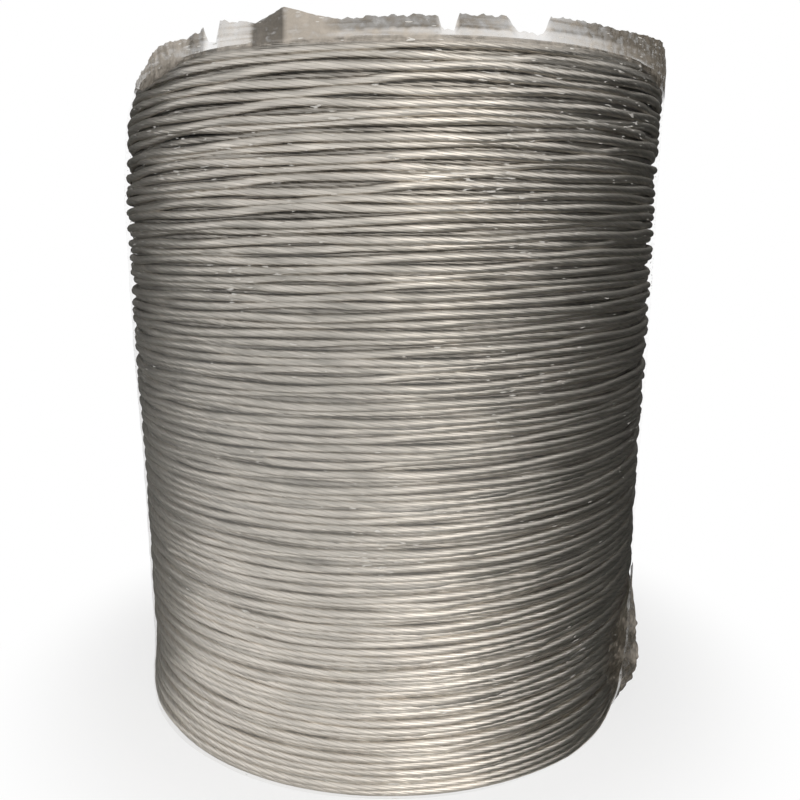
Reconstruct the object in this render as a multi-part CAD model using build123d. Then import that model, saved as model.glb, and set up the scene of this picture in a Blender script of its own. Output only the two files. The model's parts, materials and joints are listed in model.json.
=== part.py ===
from build123d import *
import math
import os

# Coil of galvanised guy strand, standing on its end and wrapped in clear film.
# Millimetres, +Z up. The origin is on the coil's axis at the floor.

# Driving sizes of the strand and of its winding
strand_diameter = 7.94
turns_per_layer = 88
wound_layers = 11
layer_pitch = 9.1
bore_radius = 200.0

# The turns lie in bands of a few strands, with an open gap between bands.
# Below, the bands are wide and close; on top, they are narrow, with deep gaps.
close_turns = 66
strands_per_close_band = (5, 4, 5, 5)
strands_per_loose_band = (3, 2, 3, 3)
close_gap_depth = 4.5
loose_gap_depth = 7.0
loosening = 0.05
band_dips = (0.0, 1.2, 0.5, 1.6, 0.0, 1.0, 1.4)
top_shoulder_dip = 7.0
foot_dip = 1.0

# Rings of turns on both ends, with a groove between them
strands_per_ring = (5, 3, 4)
ring_gap_depth = 4.0
ring_gap_width = 5.0

# Clear film round the wall, with a collar that leans in over the rim
film_gap = 0.3
film_thickness = 1.0
film_foot_height = 4.0
collar_height = 14.0
collar_lean = 16.0
collar_fold_height = 3.0

# Loose tail of film, crumpled against the wall near the floor
tail_radius = 26.0
tail_tip_radius = 12.0
tail_taper = 24.0
tail_proud = 12.0
tail_low = 17.0
tail_high = 143.0
tail_azimuth = -20.0

# Sizes that follow from the winding
coil_height = turns_per_layer * strand_diameter
outer_radius = bore_radius + wound_layers * layer_pitch
film_inner_radius = outer_radius + film_gap
film_outer_radius = film_inner_radius + film_thickness


def edges_between(first, last, widths):
    """Strand counts from first to last at which one band ends and the next begins."""
    edges = [first]
    while edges[-1] < last:
        width = widths[(len(edges) - 1) % len(widths)]
        edges.append(min(edges[-1] + width, last))
    return edges


def turn_height(turn):
    """Height of the winding after some turns, which lie closer below than on top."""
    share = turn / turns_per_layer
    return coil_height * (share + loosening * (share**4 - share))


def wall_points():
    """Outer wall from the floor to the top: a crest for each band, a gap between two."""
    edges = edges_between(0, close_turns, strands_per_close_band)
    edges += edges_between(close_turns, turns_per_layer, strands_per_loose_band)[1:]
    last_band = len(edges) - 2
    points = []
    for band, (low, high) in enumerate(zip(edges, edges[1:])):
        dip = band_dips[band % len(band_dips)]
        if band == 0:
            dip = foot_dip
        if band == last_band:
            dip = top_shoulder_dip
        gap_depth = close_gap_depth if low < close_turns else loose_gap_depth
        if band > 0:
            points.append((outer_radius - gap_depth, turn_height(low)))
        points.append((outer_radius - dip, turn_height((low + high) / 2)))
    return points


def ring_points(face_height, inward):
    """One end from the outside to the bore: flat rings of turns with a gap between two."""
    edges = edges_between(0, wound_layers, strands_per_ring)
    points = []
    for edge in reversed(edges[1:-1]):
        radius = bore_radius + edge * layer_pitch
        points.append((radius + ring_gap_width / 2, face_height))
        points.append((radius, face_height + inward * ring_gap_depth))
        points.append((radius - ring_gap_width / 2, face_height))
    return points


def turned(points):
    """Solid turned about the coil's axis from an outline of radius and height."""
    outline = Polyline([(radius, 0, height) for radius, height in points], close=True)
    return revolve(make_face(outline), axis=Axis.Z)


def make_strand_coil():
    """All the turns as one turned solid with its bore."""
    foot_edge = outer_radius - foot_dip - strand_diameter / 2
    rim_edge = outer_radius - top_shoulder_dip - strand_diameter / 2
    outline = [(foot_edge, 0)]
    outline += wall_points()
    outline.append((rim_edge, coil_height))
    outline += ring_points(coil_height, inward=-1)
    outline.append((bore_radius, coil_height))
    outline.append((bore_radius, 0))
    outline += reversed(ring_points(0, inward=1))
    return turned(outline)


def make_film_tail():
    """Crumpled end of the film, a pad with tapered ends against the outside of the sleeve."""
    centre_radius = film_outer_radius + tail_proud - tail_radius
    straight = tail_high - tail_low - 2 * tail_taper
    end_height = (straight + tail_taper) / 2
    pad = Cylinder(tail_radius, straight)
    pad += Pos(0, 0, end_height) * Cone(tail_radius, tail_tip_radius, tail_taper)
    pad += Pos(0, 0, -end_height) * Cone(tail_tip_radius, tail_radius, tail_taper)
    pad = Rot(0, 0, tail_azimuth) * Pos(centre_radius, 0, (tail_high + tail_low) / 2) * pad
    wound_inside = Cylinder(film_inner_radius + film_thickness / 2, 2 * tail_high)
    return pad - wound_inside


def make_film_wrap():
    """Film sleeve round the wall, its leaning collar and its loose tail."""
    fold = coil_height + collar_fold_height
    top = coil_height + collar_height
    sleeve = turned(
        [
            (film_inner_radius, film_foot_height),
            (film_outer_radius, film_foot_height),
            (film_outer_radius, fold),
            (film_outer_radius - collar_lean, top),
            (film_inner_radius - collar_lean, top),
            (film_inner_radius, fold),
        ]
    )
    return sleeve + make_film_tail()


pieces = {
    "strand_coil": make_strand_coil(),
    "film_wrap": make_film_wrap(),
}

os.makedirs("parts", exist_ok=True)
for name, piece in pieces.items():
    export_step(piece, f"parts/{name}.step")

strand_length = turns_per_layer * wound_layers * math.pi * (bore_radius + outer_radius) / 1000
print("strand wound on the coil, metres:", round(strand_length, 1))
print("coil height and outer radius:", round(coil_height, 2), round(outer_radius, 2))
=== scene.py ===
import json
import math

import bmesh
import bpy
import numpy as np
from mathutils import Matrix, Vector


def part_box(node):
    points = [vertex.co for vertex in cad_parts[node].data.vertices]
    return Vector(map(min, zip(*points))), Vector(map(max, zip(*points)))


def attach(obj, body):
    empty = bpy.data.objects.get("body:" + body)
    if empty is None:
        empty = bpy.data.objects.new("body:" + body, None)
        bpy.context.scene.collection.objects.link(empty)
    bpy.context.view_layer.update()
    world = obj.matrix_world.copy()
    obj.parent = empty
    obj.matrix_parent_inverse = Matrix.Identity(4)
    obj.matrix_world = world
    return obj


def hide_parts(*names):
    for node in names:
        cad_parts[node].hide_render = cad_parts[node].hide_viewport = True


# Looks of a standing coil of galvanised guy strand in its clear film wrap.
# Metres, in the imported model's own frame: +Z along the coil's axis, -Y towards the camera.

bl_info = {
    "name": "Guy strand coil",
    "version": (1, 0, 0),
    "blender": (4, 5, 0),
    "location": "3D View > Sidebar > Strand coil",
    "description": "Winds a coil of twisted steel strand and wraps it in clear film",
    "category": "Object",
}

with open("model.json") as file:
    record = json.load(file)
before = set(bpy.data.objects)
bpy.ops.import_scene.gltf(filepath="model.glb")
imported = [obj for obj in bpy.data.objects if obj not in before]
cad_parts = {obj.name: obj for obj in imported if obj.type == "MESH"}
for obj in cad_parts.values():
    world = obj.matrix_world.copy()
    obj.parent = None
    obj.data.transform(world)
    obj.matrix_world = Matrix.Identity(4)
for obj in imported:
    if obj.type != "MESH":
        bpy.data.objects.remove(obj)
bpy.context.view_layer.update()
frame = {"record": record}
COIL_LOW, COIL_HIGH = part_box("strand_coil")
COIL_RADIUS = (COIL_HIGH.x - COIL_LOW.x) / 2
COIL_HEIGHT = COIL_HIGH.z
BORE_RADIUS = frame["record"]["mounts"][0]["dims"]["r_mm"] / 1000

MM = 0.001
MERGE_DISTANCE = 0.01 * MM
# Before a strand is laid along its route, its turns lie this many thicknesses apart
TURN_SPACING = 10

ROOT = "root"

# Collar of the film, by degrees to the right of the camera side: height of its edge and lean in mm,
# then tone (taupe 0 to beige 1, partly painted shade) and cloudiness (0 to 1) of its upper strip and of its
# lower strip
COLLAR = (
    (-180, 709, 15, 0.5, 0.6, 0.7, 0.4),
    (-150, 711, 13, 0.3, 0.7, 0.8, 0.4),
    (-120, 706, 14, 0.6, 0.5, 0.7, 0.5),
    (-90, 702, 8, 0.4, 0.6, 0.8, 0.4),
    (-70, 690, 1, 0.7, 0.7, 0.8, 0.6),
    (-65, 692, 0, 0.8, 0.7, 0.8, 0.7),
    (-56, 698, 0, 0.8, 0.85, 0.8, 0.8),
    (-48.5, 710, 0, 0.85, 0.9, 0.75, 0.85),
    (-43, 711, 1, 0.8, 0.9, 0.75, 0.85),
    (-38.4, 710, 3, 0.8, 0.9, 0.6, 0.8),
    (-37.6, 711, 3, 0.15, 0.9, 0.3, 0.8),
    (-35, 713, 3, 0.3, 0.8, 0.1, 0.8),
    (-33.9, 717, 3, 0.2, 0.8, 0.3, 0.7),
    (-33.1, 703, 4, 1.0, 0.2, 1.0, 0.15),
    (-30.9, 703, 4, 1.0, 0.2, 1.0, 0.15),
    (-30, 719, 4, 0.7, 0.6, 1.0, 0.5),
    (-26.5, 716, 5, 0.9, 0.5, 1.0, 0.5),
    (-23.8, 715, 6, 0.6, 0.6, 1.0, 0.6),
    # Painted shade: the fold's left half, from -23 to -17.2 degrees, dark against its lit right half
    (-23, 713, 7, 0.05, 1.0, 0.1, 1.0),
    (-17.2, 722, 2, 0.0, 1.0, 0.05, 1.0),
    (-16.9, 722, 2, 0.85, 1.0, 0.85, 1.0),
    (-11, 714, 7, 0.85, 1.0, 0.8, 0.95),
    (-8, 712, 9, 0.25, 0.8, 0.9, 0.7),
    (-4, 713, 8, 0.05, 0.8, 0.8, 0.7),
    (7.3, 715, 8, 0.1, 0.85, 0.9, 0.7),
    (8.1, 704, 6, 1.0, 0.3, 1.0, 0.3),
    (10.1, 704, 6, 1.0, 0.3, 1.0, 0.3),
    (10.9, 716, 8, 0.1, 0.85, 0.8, 0.6),
    (19, 717, 8, 0.3, 0.7, 0.9, 0.5),
    (21, 706, 6, 0.9, 0.3, 1.0, 0.3),
    (25.6, 705, 5, 0.9, 0.3, 1.0, 0.3),
    (27, 720, 5, 0.3, 0.6, 0.6, 0.5),
    (37.4, 721, 5, 0.1, 0.9, 0.5, 0.7),
    (43, 720, 3, 0.1, 0.95, 0.35, 0.9),
    (61, 726, 0, 0.2, 0.97, 0.3, 0.95),
    (65.5, 722, 0, 0.3, 0.95, 0.25, 0.9),
    (68, 700, 0, 0.2, 0.8, 0.3, 0.7),
    (85, 702, 8, 0.5, 0.6, 0.7, 0.4),
    (120, 709, 14, 0.3, 0.7, 0.8, 0.4),
    (150, 712, 14, 0.6, 0.5, 0.7, 0.5),
    (180, 709, 15, 0.5, 0.6, 0.7, 0.4),
)

# Foot of the wall: degrees to the right of the camera side and how far it stands out in mm
FOOT = (
    (-150, 1),
    (-100, 2),
    (-80, 4),
    (-62, 7),
    (-42, 7),
    (-20, 5),
    (0, 3),
    (20, 4),
    (38, 5.5),
    (50, 1),
    (60, -5),
    (76, -6),
    (100, -2),
    (150, 1),
)

# Loose tail of the film: height in mm and how far it stands off the wall in mm
TAIL = (
    (10, 0.3),
    (15, 4),
    (22, 8.5),
    (31, 12.5),
    (42, 12),
    (54, 9.5),
    (62, 5.5),
    (68, 7.5),
    (77, 8),
    (90, 6.5),
    (104, 4.0),
    (118, 0.8),
    (132, 0.3),
    (150, 0.3),
)

# Outline of the wall: how far it stands out in mm, and the heights between which that changes in metres
BULGE = 3.0
BULGE_GROWS = (0.27, 0.42)
BULGE_ENDS_LEFT = (0.60, 0.66)
UPPER_RIGHT = 1.5
UPPER_RIGHT_GROWS = (0.655, 0.685)
FOOT_ENDS = (0.0, 0.06)
SHOULDER = ((4.0, 0.57, 0.63), (15.0, 0.645, 0.70))
RIM_DIP = 3.0
RIM_DIP_HEIGHT = 0.020

# Lean of the turns: rise for each metre of radius, and the heights between which it changes
LEAN = 0.013
LEAN_GROWS = (0.0, 0.15)
LEAN_ENDS_LEFT = (0.60, 0.68)

# Winding: looser turns lie higher up, calm ones near the foot, and flat ones at the foot and the rim
LOOSENING = 0.05
LOOSE_TURNS = (0.50, 0.60)
LOOSE_SQUEEZE = 0.7
LOOSE_WANDER = 0.4
CALM_SHARE = 0.65
CALM_ENDS = (0.10, 0.40)
FLAT_FOOT = 0.03
FLAT_RIM = 0.015

# Change of partner between neighbouring turns: size, cycles and phase of its drift, then its sharpness
PARTNER_DRIFT = ((1.0, 0.71, 0.0), (0.7, 1.93, 1.0))
PARTNER_SHARPNESS = 1.7

# Depth of the layer under the wall in thicknesses of the strand, with what the height and the sides add
UNDER_DEPTH = 0.56
UNDER_DEEPER_UP = 0.26
UNDER_DEEPER_HEIGHTS = (0.25, 0.60)
UNDER_DEEPER_RIGHT = 0.28
UNDER_DEEPER_LEFT = 0.20
UNDER_RANGE = (0.30, 1.0)

# Layer at the bore: how far it lies outside the bore, and where in the waves it starts, in turns
BORE_SLACK = 1.2 * MM
BORE_WAVE_START = 7.1

# Spirals on the ends: clearance from the bore, share of the way out at which they lie flat, and how
# far the second spiral lies below the first in thicknesses, with its start in the waves
END_CLEARANCE = 0.5 * MM
END_FLAT_FROM = 0.9
SECOND_SPIRAL_DEPTH = 0.85
SECOND_SPIRAL_START = 2.5

# Painted shade by height: heights between which the zinc turns darker upwards, then a little lighter again
# near the top, and by how much
ZINC_SHADE_HEIGHTS = (((0.0, 0.45), 0.22), ((0.48, 0.62), -0.07))

BLACK = (0.0, 0.0, 0.0)
WHITE = (1.0, 1.0, 1.0)
# Painted shade of the turns inside the coil: darker and lighter colour of its grain
INNER_PAINTED_SHADES = ((0.3, (0.03, 0.029, 0.027)), (0.7, (0.09, 0.086, 0.08)))

# Slow waves of the wound strand: cycles a turn, phase, millimetres
HEIGHT_WAVES = (
    (0.61, 4.0, 0.45),
    (1.37, 0.4, 0.45),
    (2.23, 2.1, 0.35),
    (5.3, 0.9, 0.75),
    (8.7, 2.6, 0.70),
    (12.6, 5.1, 0.45),
    (19.4, 1.2, 0.22),
)
DEPTH_WAVES = ((0.83, 1.7, 0.4), (1.91, 0.3, 0.3), (4.4, 3.1, 0.3), (9.3, 0.8, 0.25))

# Waves of how deep the layer under the wall lies: cycles a turn, phase, share of the strand's thickness
FILL_WAVES = ((3.7, 0.6, 0.10), (7.4, 2.9, 0.13), (12.7, 1.1, 0.13), (18.3, 4.2, 0.09))

# Dark cards that the metal reflects and the camera doesn't see: name, first and last degrees to the
# right of the camera side, radius and height of both edges, colour, and slant in degrees a metre
FLAGS = (
    ("right_flag", 35, 150, ((1.5, 0.0), (1.5, 1.6)), (0.010, 0.018, 0.016), 42),
    ("left_flag", -165, -95, ((1.5, 0.0), (1.5, 2.4)), (0.03, 0.035, 0.034), 0),
)
FLOOR_CARDS = (
    ("right_floor_card", 18, 168, ((0.304, 0.002), (1.5, 0.002)), (0.014, 0.021, 0.019), 0),
    ("left_floor_card", -165, -72, ((0.33, 0.002), (1.5, 0.002)), (0.11, 0.118, 0.114), 0),
)


class CoilSettings(bpy.types.PropertyGroup):
    """Sizes and colours of the wound strand and of its film."""

    strand_diameter: bpy.props.FloatProperty(
        name="Strand diameter",
        description="Thickness of the twisted strand",
        default=7.94 * MM,
        unit="LENGTH",
    )
    wall_turns: bpy.props.IntProperty(
        name="Wall turns",
        description="Turns of strand from the floor to the top in one layer",
        default=87,
    )
    end_turns: bpy.props.IntProperty(
        name="End turns",
        description="Turns of strand from the bore to the wall on each end",
        default=11,
    )
    lay_length: bpy.props.FloatProperty(
        name="Lay length",
        description="Length of strand in which one wire goes once round",
        default=100 * MM,
        unit="LENGTH",
    )
    outer_wires: bpy.props.IntProperty(
        name="Outer wires",
        description="Wires that show round the outside of the strand",
        default=6,
    )
    pair_squeeze: bpy.props.FloatProperty(
        name="Pair squeeze",
        description="How far the two strands of a band move towards each other",
        default=0.65 * MM,
        unit="LENGTH",
    )
    pair_sink: bpy.props.FloatProperty(
        name="Pair sink",
        description="How deep one strand of a band may lie under the other",
        default=3.4 * MM,
        unit="LENGTH",
    )
    zinc_colour: bpy.props.FloatVectorProperty(
        name="Zinc colour",
        description="Colour of the bright zinc coat",
        subtype="COLOR",
        default=(0.83, 0.775, 0.70),
    )
    # The dull end is also where painted shade darkens the zinc higher up
    dull_and_shaded_colour: bpy.props.FloatVectorProperty(
        name="Dull zinc colour",
        description="Colour of the zinc coat where it has dulled",
        subtype="COLOR",
        default=(0.34, 0.322, 0.29),
    )
    # Painted shade: darker copy of the zinc for the strands in the gaps, at its darkest
    inner_darker_shade_colour: bpy.props.FloatVectorProperty(
        name="Inner colour",
        description="Colour of the dusty strands that show in the gaps",
        subtype="COLOR",
        default=(0.15, 0.142, 0.13),
    )
    # Painted shade: darker copy of the zinc for the strands in the gaps, at its lightest
    inner_lighter_shade_colour: bpy.props.FloatVectorProperty(
        name="Inner bright colour",
        description="Colour of the inner strands where they are cleaner",
        subtype="COLOR",
        default=(0.58, 0.545, 0.49),
    )
    # Painted shade between the wires, which darkens the grooves
    groove_shade_colour: bpy.props.FloatVectorProperty(
        name="Groove colour",
        description="Colour of the dust and oil between the wires",
        subtype="COLOR",
        default=(0.30, 0.282, 0.255),
    )
    # Also the colour of the film's painted glints and painted sheen
    film_sheen_and_glint_colour: bpy.props.FloatVectorProperty(
        name="Film colour",
        description="Colour of the clear film where it is thick or creased",
        subtype="COLOR",
        default=(0.86, 0.84, 0.80),
    )
    crease_dark: bpy.props.FloatVectorProperty(
        name="Dark crease colour",
        description="Colour in the shade of the film's creases",
        subtype="COLOR",
        default=(0.14, 0.122, 0.098),
    )
    crease_light: bpy.props.FloatVectorProperty(
        name="Light crease colour",
        description="Colour of the film's crumpled panels",
        subtype="COLOR",
        default=(0.62, 0.555, 0.48),
    )


class StageSettings(bpy.types.PropertyGroup):
    """Camera, floor and lamps."""

    camera_distance: bpy.props.FloatProperty(
        name="Camera distance",
        description="From the coil's axis to the camera",
        default=1.0014,
        unit="LENGTH",
    )
    camera_height: bpy.props.FloatProperty(
        name="Camera height",
        description="From the floor to the camera",
        default=0.541,
        unit="LENGTH",
    )
    camera_pitch: bpy.props.FloatProperty(
        name="Camera pitch",
        description="How far the camera looks down",
        default=math.radians(11.6),
        unit="ROTATION",
    )
    camera_yaw: bpy.props.FloatProperty(
        name="Camera yaw",
        description="How far the camera looks to the right of the coil's axis",
        default=math.radians(0.585),
        unit="ROTATION",
    )
    camera_lens: bpy.props.FloatProperty(
        name="Camera lens",
        description="Focal length for a sensor 36 mm wide, in millimetres",
        default=36.6,
    )
    lamp_power: bpy.props.FloatProperty(
        name="Lamp power",
        description="Power of the soft lamp in front to the right, in watts",
        default=14.0,
    )
    lamp_colour: bpy.props.FloatVectorProperty(
        name="Lamp colour",
        description="Colour of the soft lamp",
        subtype="COLOR",
        default=(1.0, 0.95, 0.88),
    )
    floor_colour: bpy.props.FloatVectorProperty(
        name="Floor colour",
        description="Colour of the pale floor under the coil",
        subtype="COLOR",
        default=(0.86, 0.86, 0.855),
    )


def smooth_step(value, low, high):
    """0 below low, 1 above high and a smooth rise between them."""
    share = np.clip((value - low) / (high - low), 0.0, 1.0)
    return share * share * (3.0 - 2.0 * share)


def wander(turn, waves):
    """Slow irregular wave along the winding, in metres."""
    total = np.zeros_like(turn)
    for cycles, phase, size in waves:
        total += size * MM * np.sin(math.tau * cycles * turn + phase)
    return total


def coordinates(mesh):
    """All of a mesh's points as rows of x, y and z."""
    flat = np.zeros(len(mesh.vertices) * 3)
    mesh.vertices.foreach_get("co", flat)
    return flat.reshape(-1, 3)


def set_coordinates(mesh, points):
    """Moves all of a mesh's points."""
    mesh.vertices.foreach_set("co", points.astype(np.float32).ravel())
    mesh.update()


def hump(value, middle, width):
    """Bell-shaped rise to 1 about a middle."""
    return np.exp(-(((value - middle) / width) ** 2))


def waves_of(waves, first, second=0.0):
    """Sum of waves, each given as its size, its turn along two values and its phase."""
    return sum(size * np.sin(along * first + across * second + phase) for size, along, across, phase in waves)


def mesh_from(bm, name):
    """Makes a bmesh into a mesh and frees it."""
    mesh = bpy.data.meshes.new(name)
    bm.to_mesh(mesh)
    bm.free()
    return mesh


def linked(name, data):
    """Object with some data, in the scene."""
    made = bpy.data.objects.new(name, data)
    bpy.context.scene.collection.objects.link(made)
    return made


def spin(bm, angle, steps, rise=0.0, closed=False):
    """Spins all of a bmesh round the coil's axis."""
    bmesh.ops.spin(
        bm,
        geom=bm.verts[:] + bm.edges[:],
        cent=(0, 0, 0),
        axis=(0, 0, 1),
        dvec=(0, 0, rise / steps),
        angle=angle,
        steps=steps,
        use_merge=closed,
        use_normal_flip=False,
        use_duplicate=False,
    )


def object_from(bm, name, material):
    """Makes a bmesh into a smooth shaded piece that rides on the coil's body."""
    mesh = mesh_from(bm, name)
    mesh.polygons.foreach_set("use_smooth", np.ones(len(mesh.polygons), dtype=bool))
    mesh.materials.append(material)
    piece = linked(name, mesh)
    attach(piece, ROOT)
    return piece


def corner_values(mesh, values, wrap):
    """Point values at each face corner; values that run round from 0 to wrap don't jump in a face."""
    corner_point = np.zeros(len(mesh.loops), dtype=np.int32)
    mesh.loops.foreach_get("vertex_index", corner_point)
    starts = np.zeros(len(mesh.polygons), dtype=np.int32)
    counts = np.zeros(len(mesh.polygons), dtype=np.int32)
    mesh.polygons.foreach_get("loop_start", starts)
    mesh.polygons.foreach_get("loop_total", counts)
    value = values[corner_point]
    highest = np.repeat(np.maximum.reduceat(value, starts), counts)
    return np.where(highest - value > wrap / 2, value + wrap, value)


def add_map(mesh, name, along, across, along_wrap=math.inf, across_wrap=math.inf):
    """Gives a mesh a UV map from two values at each point."""
    pairs = [corner_values(mesh, along, along_wrap), corner_values(mesh, across, across_wrap)]
    layer = mesh.uv_layers.new(name=name)
    layer.data.foreach_set("uv", np.stack(pairs, axis=1).astype(np.float32).ravel())


def one_turn(sides, steps, spacing):
    """One rising turn of strand: a circle spun once round the axis."""
    thick = bpy.context.scene.coil_settings.strand_diameter / 2
    bm = bmesh.new()
    bmesh.ops.create_circle(bm, cap_ends=False, segments=sides, radius=thick)
    bmesh.ops.rotate(bm, verts=bm.verts[:], cent=(0, 0, 0), matrix=Matrix.Rotation(math.pi / 2, 3, "X"))
    bmesh.ops.translate(bm, verts=bm.verts[:], vec=(COIL_RADIUS, 0, 0))
    spin(bm, math.tau, steps, rise=spacing)
    bmesh.ops.recalc_face_normals(bm, faces=bm.faces[:])
    return bm


def repeated(bm, name, count, spacing):
    """Mesh of a turn repeated upwards, each copy joined to the one below it, with closed ends."""
    source = mesh_from(bm, f"{name}_turn")
    holder = linked(f"{name}_turn", source)
    array = holder.modifiers.new("turns", "ARRAY")
    array.count = count
    array.use_relative_offset = False
    array.use_constant_offset = True
    array.constant_offset_displace = (0, 0, spacing)
    array.use_merge_vertices = True
    array.merge_threshold = MERGE_DISTANCE
    graph = bpy.context.evaluated_depsgraph_get()
    whole = bpy.data.meshes.new_from_object(holder.evaluated_get(graph))
    bpy.data.objects.remove(holder)
    bpy.data.meshes.remove(source)
    bm = bmesh.new()
    bm.from_mesh(whole)
    bpy.data.meshes.remove(whole)
    open_ends = [edge for edge in bm.edges if edge.is_boundary]
    bmesh.ops.holes_fill(bm, edges=open_ends, sides=0)
    return bm


def wound_strand(name, turns, steps, sides, route, material):
    """Strand wound for some turns, each laid along its route.

    route(turn) gives the radius and the height of the strand's centre for each turn number.
    """
    spacing = TURN_SPACING * bpy.context.scene.coil_settings.strand_diameter
    bm = repeated(one_turn(sides, steps, spacing), name, turns, spacing)
    piece = object_from(bm, name, material)
    points = coordinates(piece.data)
    around = np.arctan2(points[:, 1], points[:, 0]) / math.tau
    turn = around + np.round(points[:, 2] / spacing - around)
    out = np.hypot(points[:, 0], points[:, 1]) - COIL_RADIUS
    up = points[:, 2] - turn * spacing
    radius, height = route(turn)
    angle = turn * math.tau
    reach = radius + out
    placed = np.stack([reach * np.cos(angle), reach * np.sin(angle), height + up], axis=1)
    set_coordinates(piece.data, placed)
    around_strand = np.arctan2(up, out) / math.tau
    add_map(piece.data, "strand", angle * COIL_RADIUS, around_strand, across_wrap=1.0)
    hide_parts("strand_coil")
    return piece


def band_side(turn):
    """-1 or 1 for the two strands of a band, with smooth and irregular changes of partner."""
    drift = sum(size * np.sin(cycles * turn + phase) for size, cycles, phase in PARTNER_DRIFT)
    swing = PARTNER_SHARPNESS * np.sin(math.pi * turn + drift)
    return np.tanh(swing) / math.tanh(PARTNER_SHARPNESS)


def wall_height(share):
    """Height of the winding at a share of its turns: closer turns below, looser ones on top."""
    thick = bpy.context.scene.coil_settings.strand_diameter
    return thick / 2 + (COIL_HEIGHT - thick) * (share + LOOSENING * (share**4 - share))


def azimuth_of(turn):
    """Degrees to the right of the camera side for a number of turns counted from the right."""
    return turn * 360 + 90


def sides(azimuth):
    """How much an angle is on the left and on the right: 0 in front and 1 at the coil's edge."""
    to_right = np.sin(np.radians(azimuth))
    return np.maximum(0.0, -to_right), np.maximum(0.0, to_right)


def outer_shape(height, azimuth):
    """How far the wall stands out of a straight cylinder."""
    left, right = sides(azimuth)
    bulge = left**2 * (1 - smooth_step(height, *BULGE_ENDS_LEFT)) + right**2
    upper = right**2 * smooth_step(height, *UPPER_RIGHT_GROWS)
    foot = np.interp(azimuth, *zip(*FOOT), period=360) * (1 - smooth_step(height, *FOOT_ENDS))
    return (BULGE * bulge * smooth_step(height, *BULGE_GROWS) + UPPER_RIGHT * upper + foot) * MM


def shoulder(height, azimuth):
    """How far the upper turns draw in on the left."""
    left, _ = sides(azimuth)
    drawn_in = sum(depth * smooth_step(height, low, high) for depth, low, high in SHOULDER)
    return left**2 * drawn_in * MM


def lean(height, radius, azimuth):
    """How much higher the turns lie on the right than on the left, except for the top turns' left side."""
    left, right = sides(azimuth)
    tilt = right - left * (1 - smooth_step(height, *LEAN_ENDS_LEFT))
    return LEAN * radius * tilt * smooth_step(height, *LEAN_GROWS)


def wall_rise(turn):
    """Height of the outer layer's strand, before its lean."""
    settings = bpy.context.scene.coil_settings
    height = wall_height(turn / settings.wall_turns)
    loose = smooth_step(height, *LOOSE_TURNS)
    above_foot = smooth_step(height, 0.0, FLAT_FOOT)
    below_rim = 1 - smooth_step(height, COIL_HEIGHT - FLAT_RIM, COIL_HEIGHT)
    calm = CALM_SHARE + (1 - CALM_SHARE) * smooth_step(height, *CALM_ENDS)
    squeeze = settings.pair_squeeze * band_side(turn) * (1 + LOOSE_SQUEEZE * loose)
    uneven = wander(turn, HEIGHT_WAVES) * (1 + LOOSE_WANDER * loose) - squeeze
    return height + uneven * calm * above_foot * below_rim


def wall_crest(height, azimuth):
    """Radius of the strand's centre where it lies outermost."""
    settings = bpy.context.scene.coil_settings
    rim = RIM_DIP * MM * smooth_step(height, COIL_HEIGHT - RIM_DIP_HEIGHT, COIL_HEIGHT)
    stands = outer_shape(height, azimuth) - shoulder(height, azimuth)
    return COIL_RADIUS + stands - rim - settings.strand_diameter / 2


def wall_route(turn):
    """Radius and height of the outer layer's strand; of two close turns one lies under the other."""
    settings = bpy.context.scene.coil_settings
    height = wall_rise(turn)
    azimuth = azimuth_of(turn)
    spacing = np.minimum(height - wall_rise(turn - 1), wall_rise(turn + 1) - height)
    clear = np.sqrt(np.maximum(0.0, settings.strand_diameter**2 - spacing**2))
    sink = np.minimum(clear, settings.pair_sink) * (1 - band_side(turn)) / 2
    radius = wall_crest(height, azimuth) - np.maximum(0.0, sink + wander(turn, DEPTH_WAVES))
    return radius, height + lean(height, radius, azimuth)


def under_route(turn):
    """Radius and height of the layer under the wall's, which fills some gaps and leaves others dark."""
    settings = bpy.context.scene.coil_settings
    height = (wall_rise(turn) + wall_rise(turn + 1)) / 2
    azimuth = azimuth_of(turn)
    left, right = sides(azimuth)
    depth = UNDER_DEPTH + UNDER_DEEPER_UP * smooth_step(height, *UNDER_DEEPER_HEIGHTS)
    depth += UNDER_DEEPER_RIGHT * right**2 + UNDER_DEEPER_LEFT * left**4
    depth = np.clip(depth + wander(turn, FILL_WAVES) / MM, *UNDER_RANGE)
    radius = wall_crest(height, azimuth) - depth * settings.strand_diameter
    return radius, height + lean(height, radius, azimuth)


def bore_route(turn):
    """Radius and height of the innermost layer."""
    settings = bpy.context.scene.coil_settings
    height = wall_height(turn / settings.wall_turns)
    at_bore = BORE_RADIUS + settings.strand_diameter / 2
    uneven = BORE_SLACK + wander(turn + BORE_WAVE_START, DEPTH_WAVES)
    return at_bore + np.maximum(0.0, uneven), height


def end_route(face_height, inward, start, below=0.0):
    """Route of a flat spiral of turns on one end, which joins the wall's first or last turn."""
    settings = bpy.context.scene.coil_settings
    thick = settings.strand_diameter
    first = BORE_RADIUS + thick / 2 + END_CLEARANCE
    on_top = face_height > COIL_HEIGHT / 2

    def route(turn):
        share = turn / settings.end_turns
        if on_top:
            share = 1 - share
        azimuth = azimuth_of(turn)
        last = wall_crest(face_height, azimuth) - below
        radius = first + (last - first) * share + wander(turn + start, DEPTH_WAVES) * (1 - share)
        dip = np.abs(wander(turn + start, HEIGHT_WAVES)) * (1 - smooth_step(share, END_FLAT_FROM, 1.0))
        height = face_height + inward * (thick / 2 + below + dip)
        return radius, height + lean(face_height, radius, azimuth)

    return route


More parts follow.
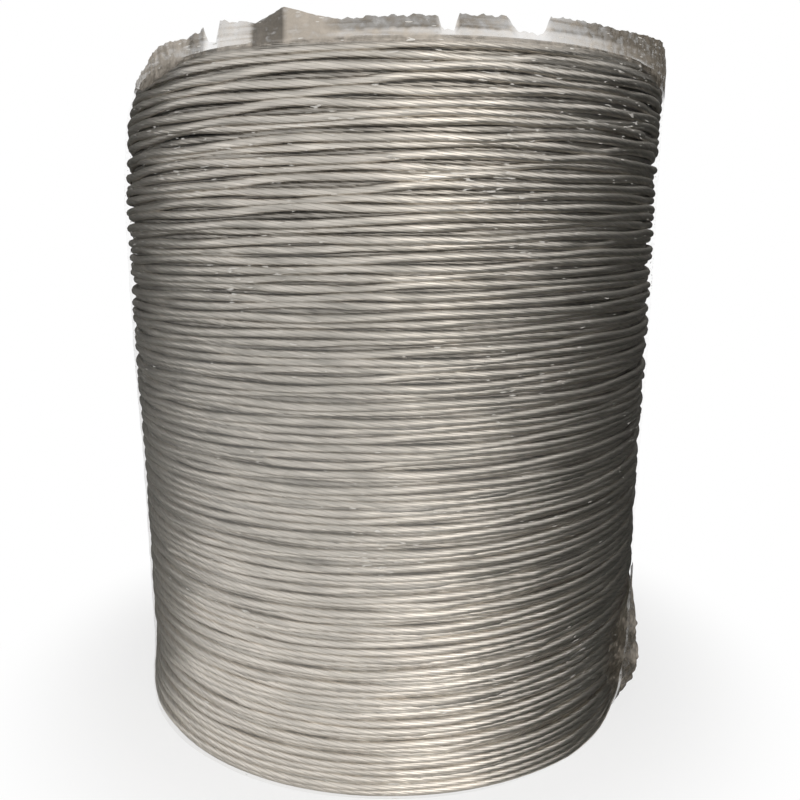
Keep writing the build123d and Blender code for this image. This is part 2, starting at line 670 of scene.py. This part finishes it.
def zinc_material(name, bright, dull_and_shaded):
    """Galvanised wires laid round the strand, dulled at random, with painted shade in the grooves between
    them and painted shade by height.
    """
    settings = bpy.context.scene.coil_settings
    material, tree, shader = new_material(name)
    shader.inputs["Metallic"].default_value = 1.0
    along, across = map_axes(tree, "strand")
    twist = maths(tree, "MULTIPLY", along, 1 / settings.lay_length)
    phase = maths(tree, "MULTIPLY", maths(tree, "ADD", twist, across), settings.outer_wires)
    wire = maths(tree, "FLOOR", phase)
    centred = maths(tree, "MULTIPLY_ADD", maths(tree, "FRACT", phase), 2.0, -1.0)
    squared = maths(tree, "MULTIPLY", centred, centred)
    crown = maths(tree, "SQRT", maths(tree, "MULTIPLY_ADD", squared, -0.96, 1.0))
    streak = noise(tree, stretched(tree, along, 11.0, wire, 5.37), detail=2.0)
    dash = noise(tree, stretched(tree, along, 42.0, phase, 1.7), detail=3.0)
    rub = noise(tree, stretched(tree, along, 17.0, across, 5.0), detail=3.0)
    place = tree.nodes.new("ShaderNodeTexCoord")
    mottle = noise(tree, place.outputs["Object"], detail=3.0, scale=24.0)
    higher = tree.nodes.new("ShaderNodeSeparateXYZ")
    tree.links.new(place.outputs["Object"], higher.inputs[0])
    dullness_and_shade = -0.19
    # Painted shade: the zinc darker higher up and a little lighter again near the top
    for (low, high), weight in ZINC_SHADE_HEIGHTS:
        part = smooth_range(tree, higher.outputs["Z"], low, high)
        dullness_and_shade = maths(tree, "MULTIPLY_ADD", part, weight, dullness_and_shade)
    for part, weight in ((streak, 0.35), (dash, 0.20), (rub, 0.50), (mottle, 0.15)):
        dullness_and_shade = maths(tree, "MULTIPLY_ADD", part, weight, dullness_and_shade)
    tone = ramp(tree, dullness_and_shade, ((0.34, bright), (0.74, dull_and_shaded)))
    # Painted shade in the grooves, where the wires' crowns fall away
    groove_shade_mask = ramp(tree, crown, ((0.20, BLACK), (0.55, WHITE)))
    tree.links.new(mix_colour(tree, groove_shade_mask, settings.groove_shade_colour, tone), shader.inputs["Base Color"])
    rough = maths(tree, "MULTIPLY_ADD", dash, 0.16, maths(tree, "MULTIPLY_ADD", dullness_and_shade, 0.30, 0.14))
    tree.links.new(rough, shader.inputs["Roughness"])
    relief = maths(tree, "ADD", crown, maths(tree, "MULTIPLY", dash, 0.15))
    add_bump(tree, shader, relief, strength=0.42, distance=1.0 * MM)
    return material


def core_material():
    """Dark shade of the turns inside the coil, which hardly show."""
    material, tree, shader = new_material("inner_turns")
    shader.inputs["Metallic"].default_value = 0.6
    shader.inputs["Roughness"].default_value = 0.6
    place = tree.nodes.new("ShaderNodeTexCoord")
    grain = noise(tree, place.outputs["Object"], detail=3.0, scale=60.0)
    tone = ramp(tree, grain, INNER_PAINTED_SHADES)
    tree.links.new(tone, shader.inputs["Base Color"])
    return material


def film_material():
    """Clear stretch film: faintly milky, with painted sheen on its lit side, fine streaks round the coil and
    painted white glints on its creases.
    """
    settings = bpy.context.scene.coil_settings
    material, tree, shader = new_material("clear_stretch_film")
    shader.inputs["Roughness"].default_value = 0.25
    shader.inputs["IOR"].default_value = 1.5
    round_way, height = map_axes(tree, "film")
    streak = noise(tree, stretched(tree, round_way, 9.0, height, 260.0), detail=3.0)
    glint = noise(tree, stretched(tree, round_way, 80.0, height, 430.0), detail=1.0)
    cluster = noise(tree, stretched(tree, round_way, 9.0, height, 13.0), detail=2.0)
    crease = noise(tree, stretched(tree, round_way, 120.0, height, 150.0), detail=4.0)
    cloud = attribute_value(tree, "film_cloud")
    tone = attribute_value(tree, "film_tone")
    gathered = maths(tree, "MULTIPLY_ADD", smooth_range(tree, height, 0.655, 0.69), 0.20, 0.05)
    # Painted sheen: the film lighter on its lit side and lower down, where it would reflect the front light
    from_back = smooth_range(tree, round_way, 0.0, 0.3)
    past_front = smooth_range(tree, round_way, 0.96, 1.12)
    lit_side = maths(tree, "SUBTRACT", from_back, past_front)
    below = maths(tree, "SUBTRACT", 1.0, smooth_range(tree, height, 0.30, 0.58))
    painted_sheen = maths(tree, "MULTIPLY_ADD", maths(tree, "MULTIPLY", lit_side, below), 0.15, 0.012)
    haze_and_sheen = maths(tree, "MULTIPLY_ADD", smooth_range(tree, streak, 0.45, 0.75), gathered, painted_sheen)
    # Painted glints: white specks where creases would catch the light, more of them higher up
    top = maths(tree, "MULTIPLY_ADD", smooth_range(tree, height, 0.42, 0.66), -0.045, 0.962)
    speckle = maths(tree, "MULTIPLY_ADD", cluster, 0.45, glint)
    painted_glint = smooth_range(tree, maths(tree, "SUBTRACT", speckle, top), 0.0, 0.04)
    wrinkle = maths(tree, "MULTIPLY_ADD", crease, 1.2, 0.4)
    clear = maths(tree, "MULTIPLY_ADD", cloud, wrinkle, haze_and_sheen)
    alpha = maths(tree, "MULTIPLY_ADD", painted_glint, 0.7, clear, clamp=True)
    tree.links.new(alpha, shader.inputs["Alpha"])
    uneven = maths(tree, "MULTIPLY_ADD", cloud, -4.4, 4.9)
    mottled = maths(tree, "MULTIPLY", maths(tree, "SUBTRACT", crease, 0.5), uneven)
    shade = maths(tree, "ADD", tone, mottled, clamp=True)
    creased = mix_colour(tree, shade, settings.crease_dark, settings.crease_light)
    off_painted_glint = maths(tree, "SUBTRACT", 4.0, maths(tree, "MULTIPLY", painted_glint, 4.0))
    body = maths(tree, "MULTIPLY", cloud, off_painted_glint, clamp=True)
    tree.links.new(mix_colour(tree, body, settings.film_sheen_and_glint_colour, creased), shader.inputs["Base Color"])
    relief = maths(tree, "ADD", maths(tree, "MULTIPLY", streak, 0.5), maths(tree, "MULTIPLY", crease, 1.3))
    add_bump(tree, shader, relief, strength=0.6, distance=2.0 * MM)
    return material


def attribute_value(tree, name):
    """A point attribute's value."""
    made = tree.nodes.new("ShaderNodeAttribute")
    made.attribute_name = name
    return made.outputs["Fac"]


def new_material(name):
    """Material with its node tree and its Principled shader."""
    material = bpy.data.materials.new(name)
    material.use_nodes = True
    return material, material.node_tree, material.node_tree.nodes["Principled BSDF"]


def map_axes(tree, name):
    """The two outputs of a UV map."""
    place = tree.nodes.new("ShaderNodeUVMap")
    place.uv_map = name
    split = tree.nodes.new("ShaderNodeSeparateXYZ")
    tree.links.new(place.outputs["UV"], split.inputs[0])
    return split.outputs["X"], split.outputs["Y"]


def stretched(tree, first, first_scale, second, second_scale):
    """Place for a texture, with a scale of its own along each of two values."""
    place = tree.nodes.new("ShaderNodeCombineXYZ")
    tree.links.new(maths(tree, "MULTIPLY", first, first_scale), place.inputs["X"])
    tree.links.new(maths(tree, "MULTIPLY", second, second_scale), place.inputs["Y"])
    return place.outputs["Vector"]


def smooth_range(tree, value, low, high):
    """0 below low, 1 above high and a smooth rise between them."""
    made = tree.nodes.new("ShaderNodeMapRange")
    made.interpolation_type = "SMOOTHSTEP"
    made.inputs["From Min"].default_value = low
    made.inputs["From Max"].default_value = high
    tree.links.new(value, made.inputs["Value"])
    return made.outputs["Result"]


def add_bump(tree, shader, height, strength, distance):
    """Bump on a shader."""
    made = tree.nodes.new("ShaderNodeBump")
    made.inputs["Strength"].default_value = strength
    made.inputs["Distance"].default_value = distance
    tree.links.new(height, made.inputs["Height"])
    tree.links.new(made.outputs["Normal"], shader.inputs["Normal"])


def maths(tree, operation, first, second=None, third=None, clamp=False):
    """Output of a Math node on sockets or plain numbers."""
    made = tree.nodes.new("ShaderNodeMath")
    made.operation = operation
    made.use_clamp = clamp
    for socket, value in zip(made.inputs, (first, second, third)):
        if isinstance(value, (int, float)):
            socket.default_value = value
        elif value is not None:
            tree.links.new(value, socket)
    return made.outputs[0]


def noise(tree, place, detail, scale=1.0):
    """Output of a Noise Texture, from 0 to 1."""
    made = tree.nodes.new("ShaderNodeTexNoise")
    made.inputs["Scale"].default_value = scale
    made.inputs["Detail"].default_value = detail
    tree.links.new(place, made.inputs["Vector"])
    return made.outputs["Fac"]


def ramp(tree, value, stops):
    """Colour Ramp from (position, colour) stops."""
    made = tree.nodes.new("ShaderNodeValToRGB")
    tree.links.new(value, made.inputs["Fac"])
    elements = made.color_ramp.elements
    for element, (position, colour) in zip(elements, stops):
        element.position = position
        element.color = (*colour, 1.0)
    return made.outputs["Color"]


def mix_colour(tree, factor, first, second):
    """Mix of two colours, each a socket or a plain colour."""
    made = tree.nodes.new("ShaderNodeMix")
    made.data_type = "RGBA"
    tree.links.new(factor, made.inputs["Factor"])
    for socket, value in ((made.inputs[6], first), (made.inputs[7], second)):
        if isinstance(value, bpy.types.NodeSocket):
            tree.links.new(value, socket)
        else:
            socket.default_value = (*value, 1.0)
    return made.outputs[2]


class COIL_OT_wall(bpy.types.Operator):
    """Winds the outer layer of strand, the layer under it and the one at the bore."""

    bl_idname = "coil.wall"
    bl_label = "Wall turns"

    def execute(self, context):
        settings = context.scene.coil_settings
        zinc = zinc_material("galvanised_strand", settings.zinc_colour, settings.dull_and_shaded_colour)
        # Painted shade: a darker copy of the zinc for the strands that show in the gaps
        shaded = zinc_material("shaded_inner_strand", settings.inner_lighter_shade_colour, settings.inner_darker_shade_colour)
        turns = settings.wall_turns
        wound_strand("wall_turns", turns, steps=126, sides=9, route=wall_route, material=zinc)
        wound_strand("under_turns", turns, steps=72, sides=6, route=under_route, material=shaded)
        wound_strand("bore_turns", turns, steps=64, sides=6, route=bore_route, material=zinc)
        return {"FINISHED"}


class COIL_OT_ends(bpy.types.Operator):
    """Lays the flat spirals of turns that show on both ends."""

    bl_idname = "coil.ends"
    bl_label = "End turns"

    def execute(self, context):
        settings = context.scene.coil_settings
        zinc = bpy.data.materials["galvanised_strand"]
        turns = settings.end_turns
        depth = SECOND_SPIRAL_DEPTH * settings.strand_diameter
        for name, face, inward in (("top_turns", COIL_HEIGHT, -1), ("foot_turns", 0.0, 1)):
            route = end_route(face, inward, start=0.0)
            wound_strand(name, turns, steps=110, sides=8, route=route, material=zinc)
            route = end_route(face, inward, start=SECOND_SPIRAL_START, below=depth)
            wound_strand(f"{name}_below", turns, steps=90, sides=6, route=route, material=zinc)
        return {"FINISHED"}


class COIL_OT_core(bpy.types.Operator):
    """Fills the inside of the coil between the wall, the bore and the ends."""

    bl_idname = "coil.core"
    bl_label = "Inner turns"

    # How far the core lies inside the turns, in thicknesses of the strand
    from_bore = 1.3
    from_wall = 2.2
    from_foot = 1.7
    from_top = 1.9

    def execute(self, context):
        thick = context.scene.coil_settings.strand_diameter
        inner = BORE_RADIUS + self.from_bore * thick
        outer = COIL_RADIUS - self.from_wall * thick
        low = self.from_foot * thick
        high = COIL_HEIGHT - self.from_top * thick
        bm = bmesh.new()
        section = ((inner, low), (outer, low), (outer, high), (inner, high))
        corners = [bm.verts.new((radius, 0, height)) for radius, height in section]
        for start, end in zip(corners, corners[1:] + corners[:1]):
            bm.edges.new((start, end))
        spin(bm, math.tau, steps=96, closed=True)
        bmesh.ops.recalc_face_normals(bm, faces=bm.faces[:])
        piece = object_from(bm, "inner_turns", core_material())
        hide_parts("strand_coil")
        return {"FINISHED"}


class COIL_OT_film(bpy.types.Operator):
    """Wraps the clear film round the wall and stands its collar over the rim."""

    bl_idname = "coil.film"
    bl_label = "Film sleeve"

    columns = 720
    rows = 90
    collar_rows = 18
    flat_height = 0.72

    # Places round the coil in degrees to the right of the camera side, lengths in mm
    fold_at = -16
    fold_width = 8
    rim_below_top = 9
    rim_above_edge = 6
    left_dip = 16
    left_dip_at = -54
    left_dip_width = 11
    right_dip = 14
    right_dip_span = (48, 62)
    off_coil = 1.3
    foot_height = 1
    foot_in = 1
    foot_in_ends = 0.02
    upper_strip = (0.50, 0.62)
    clear_below = 0.3

    # Size in mm, turn along the angle in degrees and along the height, and phase
    ragged_waves = ((0.8, 1.7, 0, 1), (0.6, 4.3, 0, 0), (0.4, 9.1, 0, 2))
    crumple_waves = ((0.5, 0.9, 4, 0), (0.4, 2.3, 3, 1), (0.3, 5.1, 0, 2))
    ripple_waves = ((0.3, 0.21, 205, 0), (0.2, 0.4, 87, 1))

    def execute(self, context):
        bm = bmesh.new()
        bmesh.ops.create_cone(bm, cap_ends=False, segments=self.columns, radius1=1.0, radius2=1.0, depth=1.0)
        upright = [edge for edge in bm.edges if edge.verts[0].co.z * edge.verts[1].co.z < 0]
        bmesh.ops.subdivide_edges(bm, edges=upright, cuts=self.rows - 1, use_grid_fill=True)
        bmesh.ops.translate(bm, verts=bm.verts[:], vec=(0, 0, 0.5))
        bmesh.ops.recalc_face_normals(bm, faces=bm.faces[:])
        piece = object_from(bm, "film_sleeve", film_material())
        points = coordinates(piece.data)
        azimuth = np.degrees(np.arctan2(points[:, 0], -points[:, 1]))
        radius, height, tone, cloud = self.shape(azimuth, points[:, 2])
        place_film(piece, azimuth, radius, height, tone, cloud)
        return {"FINISHED"}

    def shape(self, azimuth, row):
        """Radius, height, tone and cloudiness of the film at an angle and a share of its width."""
        wall_share = 1 - self.collar_rows / self.rows
        columns = list(zip(*COLLAR))
        edge, lean_in, tone, cloud, low_tone, low_cloud = (
            np.interp(azimuth, columns[0], column) for column in columns[1:]
        )
        off_fold = 1 - hump(azimuth, self.fold_at, self.fold_width)
        ragged = waves_of(self.ragged_waves, azimuth) * off_fold * np.cos(np.radians(azimuth)) ** 2
        edge = (edge + ragged) * MM
        dip = self.left_dip * hump(azimuth, self.left_dip_at, self.left_dip_width)
        dip += self.right_dip * smooth_step(azimuth, *self.right_dip_span)
        rim = COIL_HEIGHT - (self.rim_below_top + dip) * MM + lean(COIL_HEIGHT, COIL_RADIUS, azimuth)
        rim = np.minimum(rim, edge - self.rim_above_edge * MM)
        foot = self.foot_height * MM
        on_wall = np.clip(row / wall_share, 0, 1)
        on_collar = np.clip((row - wall_share) / (1 - wall_share), 0, 1)
        height = foot + (rim - foot) * on_wall + (edge - rim) * on_collar
        crumple = waves_of(self.crumple_waves, azimuth, on_collar)
        ripple = waves_of(self.ripple_waves, azimuth, height)
        foot_in = self.foot_in * (1 - smooth_step(height, 0.0, self.foot_in_ends))
        off_wall = self.off_coil + ripple * (1 - on_collar) + (crumple - lean_in) * on_collar - foot_in
        radius = COIL_RADIUS + off_wall * MM + outer_shape(height, azimuth) - shoulder(height, azimuth)
        upper = smooth_step(on_collar, *self.upper_strip)
        tone = low_tone + (tone - low_tone) * upper
        cloud = (low_cloud + (cloud - low_cloud) * upper) * smooth_step(on_collar, 0.0, self.clear_below)
        return radius, height, tone, cloud


class COIL_OT_tail(bpy.types.Operator):
    """Crumples the loose tail of the film against the wall near the floor."""

    bl_idname = "coil.tail"
    bl_label = "Film tail"

    columns = 56
    rows = 90
    flat_size = (0.15, 0.14)

    # Places round the coil in degrees, and the crest's place across the tail from -1 to 1
    middle = 65
    half_width = 14
    end_share = 0.45
    slant = 2
    top_shift = 5
    top_shift_span = (0.6, 0.9)
    crest = 0.45
    off_coil = 1.8
    ragged_waves = ((0.10, 19, 0, 0), (0.07, 43, 0, 1))
    crease_waves = ((1.3, 14, 9, 0, 0.8), (0.9, 17, -8, 1.0, 0.0), (0.6, 31, 13, 2.0, 0.0))

    def execute(self, context):
        bm = bmesh.new()
        bmesh.ops.create_grid(bm, x_segments=self.columns, y_segments=self.rows, size=1.0)
        bmesh.ops.recalc_face_normals(bm, faces=bm.faces[:])
        piece = object_from(bm, "film_tail", bpy.data.materials["clear_stretch_film"])
        points = coordinates(piece.data)
        across, up = points[:, 0], (points[:, 1] + 1) / 2
        low, high = TAIL[0][0] * MM, TAIL[-1][0] * MM
        height = low + (high - low) * up
        stand = np.interp(height / MM, *zip(*TAIL)) * MM
        body = self.end_share + (1 - self.end_share) * np.sin(math.pi * up) ** 0.5
        spread = self.half_width * body * (1 + waves_of(self.ragged_waves, up))
        azimuth = self.middle + spread * across - self.slant * (up - 0.5)
        azimuth += self.top_shift * smooth_step(up, *self.top_shift_span)
        from_crest = across - self.crest
        reach = np.where(from_crest < 0, 1 + self.crest, 1 - self.crest)
        bell = np.clip(1 - (from_crest / reach) ** 2, 0, 1) ** 0.8
        creases = sum(
            size * np.abs(np.sin(rise * up + run * across + phase + bend * np.sin(11 * up)))
            for size, rise, run, phase, bend in self.crease_waves
        )
        wall = COIL_RADIUS + self.off_coil * MM + outer_shape(height, azimuth)
        radius = wall + stand * (0.70 + 0.20 * creases) * bell
        tone = 0.60 * smooth_step(across, -0.3, 0.2) + 0.25 * np.sin(23 * up + 6 * across)
        cloud = (0.25 + 0.57 * smooth_step(across, -0.92, -0.55)) * smooth_step(bell, 0.02, 0.09)
        place_film(piece, azimuth, radius, height, tone, cloud)
        return {"FINISHED"}


def place_film(piece, azimuth, radius, height, tone, cloud):
    """Moves a film's points to their angle, radius and height, and gives it its map and shades."""
    angle = np.radians(azimuth)
    set_coordinates(piece.data, np.stack([radius * np.sin(angle), -radius * np.cos(angle), height], axis=1))
    for name, values in (("film_tone", tone), ("film_cloud", cloud)):
        attribute = piece.data.attributes.new(name, "FLOAT", "POINT")
        attribute.data.foreach_set("value", values.astype(np.float32))
    circumference = math.tau * COIL_RADIUS
    add_map(piece.data, "film", (azimuth / 360 + 0.5) * circumference, height, along_wrap=circumference)
    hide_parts("film_wrap")


class COIL_OT_stage(bpy.types.Operator):
    """Sets up the camera of the photograph, the pale floor and the soft lamps."""

    bl_idname = "coil.stage"
    bl_label = "Stage"

    matt = 0.9
    floor_radius = 12.0
    floor_gap = 0.5 * MM
    shadow_ends = (0.30, 0.52)
    white_near_coil = 0.76
    lighting_strength = 0.55

    def execute(self, context):
        scene = context.scene
        scene.view_settings.view_transform = "Standard"
        self.add_camera(scene)
        self.add_floor(scene)
        self.add_world(scene)
        self.add_lamp("key_lamp", azimuth=19, distance=2.2, height=0.9, width=1.5, tall=2.0, roll=18)
        for flag in FLAGS:
            self.add_flag(*flag)
        for floor_card in FLOOR_CARDS:
            card = self.add_flag(*floor_card)
            card.visible_shadow = False
            card.visible_diffuse = False
        return {"FINISHED"}

    def add_camera(self, scene):
        """Camera at the photograph's place, looking slightly down at the coil."""
        settings = scene.stage_settings
        data = bpy.data.cameras.new("photo_camera")
        data.lens = settings.camera_lens
        data.sensor_width = 36.0
        data.clip_start = 10 * MM
        camera = linked("photo_camera", data)
        camera.location = (0.0, -settings.camera_distance, settings.camera_height)
        camera.rotation_euler = (math.pi / 2 - settings.camera_pitch, 0.0, -settings.camera_yaw)
        scene.camera = camera

    def add_floor(self, scene):
        """Pale floor that keeps the coil's shadow and fades to white away from it."""
        bm = bmesh.new()
        bmesh.ops.create_circle(bm, cap_ends=True, segments=96, radius=self.floor_radius)
        mesh = mesh_from(bm, "floor")
        floor = linked("floor", mesh)
        floor.location.z = -self.floor_gap
        material, tree, shader = new_material("pale_floor")
        shader.inputs["Base Color"].default_value = (*scene.stage_settings.floor_colour, 1.0)
        shader.inputs["Roughness"].default_value = self.matt
        glow = tree.nodes.new("ShaderNodeEmission")
        place = tree.nodes.new("ShaderNodeTexCoord")
        length = tree.nodes.new("ShaderNodeVectorMath")
        length.operation = "LENGTH"
        tree.links.new(place.outputs["Object"], length.inputs[0])
        far = smooth_range(tree, length.outputs["Value"], *self.shadow_ends)
        path = tree.nodes.new("ShaderNodeLightPath")
        white = maths(tree, "MULTIPLY_ADD", far, 1 - self.white_near_coil, self.white_near_coil)
        near = maths(tree, "MULTIPLY", path.outputs["Is Camera Ray"], white)
        share = maths(tree, "MAXIMUM", near, maths(tree, "MULTIPLY", far, seen_directly(tree)))
        mix = tree.nodes.new("ShaderNodeMixShader")
        tree.links.new(share, mix.inputs[0])
        tree.links.new(shader.outputs["BSDF"], mix.inputs[1])
        tree.links.new(glow.outputs["Emission"], mix.inputs[2])
        tree.links.new(mix.outputs["Shader"], tree.nodes["Material Output"].inputs["Surface"])
        mesh.materials.append(material)

    def add_world(self, scene):
        """White surroundings, softer where they only light the coil."""
        world = bpy.data.worlds.new("white_surroundings")
        world.use_nodes = True
        scene.world = world
        tree = world.node_tree
        background = tree.nodes["Background"]
        background.inputs["Color"].default_value = (1.0, 1.0, 1.0, 1.0)
        extra = 1 - self.lighting_strength
        strength = maths(tree, "MULTIPLY_ADD", seen_directly(tree), extra, self.lighting_strength)
        tree.links.new(strength, background.inputs["Strength"])

    def add_lamp(self, name, azimuth, distance, height, width, tall, roll):
        """Soft lamp at an angle to the right of the camera side, turned to the coil."""
        settings = bpy.context.scene.stage_settings
        data = bpy.data.lights.new(name, "AREA")
        data.shape = "RECTANGLE"
        data.size = width
        data.size_y = tall
        data.energy = settings.lamp_power
        data.color = settings.lamp_colour
        lamp = linked(name, data)
        angle = math.radians(azimuth)
        lamp.location = (distance * math.sin(angle), -distance * math.cos(angle), height)
        tip = math.atan2(height - COIL_HEIGHT / 2, distance)
        facing = Matrix.Rotation(angle, 4, "Z") @ Matrix.Rotation(math.pi / 2 - tip, 4, "X")
        lamp.rotation_euler = (facing @ Matrix.Rotation(-math.radians(roll), 4, "Z")).to_euler()
        lamp.visible_camera = False

    def add_flag(self, name, first, last, profile, shade, slant):
        """Dark curved card beside the coil between two angles, slanted by some degrees a metre."""
        bm = bmesh.new()
        points = []
        for radius, height in profile:
            edge = math.radians(first + slant * height)
            points.append(bm.verts.new((radius * math.sin(edge), -radius * math.cos(edge), height)))
        bm.edges.new(points)
        spin(bm, math.radians(last - first), steps=24)
        mesh = mesh_from(bm, name)
        flag = linked(name, mesh)
        flag.visible_camera = False
        material, _, shader = new_material(f"{name}_cloth")
        shader.inputs["Base Color"].default_value = (*shade, 1.0)
        shader.inputs["Roughness"].default_value = self.matt
        mesh.materials.append(material)
        return flag


def seen_directly(tree):
    """1 for rays of the camera, of gloss and through clear things, and 0 for rays that light."""
    path = tree.nodes.new("ShaderNodeLightPath")
    glossy = maths(tree, "ADD", path.outputs["Is Camera Ray"], path.outputs["Is Glossy Ray"], clamp=True)
    return maths(tree, "ADD", glossy, path.outputs["Is Transmission Ray"], clamp=True)


class COIL_PT_panel(bpy.types.Panel):
    """Lists the coil's settings and steps."""

    bl_idname = "COIL_PT_panel"
    bl_label = "Strand coil"
    bl_space_type = "VIEW_3D"
    bl_region_type = "UI"
    bl_category = "Strand coil"

    def draw(self, context):
        layout = self.layout
        for group in (context.scene.coil_settings, context.scene.stage_settings):
            for name in group.__annotations__:
                layout.prop(group, name)
        for step in STEPS:
            layout.operator(step.bl_idname)


STEPS = (COIL_OT_wall, COIL_OT_ends, COIL_OT_core, COIL_OT_film, COIL_OT_tail, COIL_OT_stage)
CLASSES = (CoilSettings, StageSettings, *STEPS, COIL_PT_panel)


def register():
    for item in CLASSES:
        bpy.utils.register_class(item)
    bpy.types.Scene.coil_settings = bpy.props.PointerProperty(type=CoilSettings)
    bpy.types.Scene.stage_settings = bpy.props.PointerProperty(type=StageSettings)


def unregister():
    del bpy.types.Scene.stage_settings
    del bpy.types.Scene.coil_settings
    for item in reversed(CLASSES):
        bpy.utils.unregister_class(item)


def main():
    """Makes every piece in turn."""
    register()
    bpy.ops.coil.wall()
    bpy.ops.coil.ends()
    bpy.ops.coil.core()
    bpy.ops.coil.film()
    bpy.ops.coil.tail()
    bpy.ops.coil.stage()


if __name__ == "__main__":
    main()
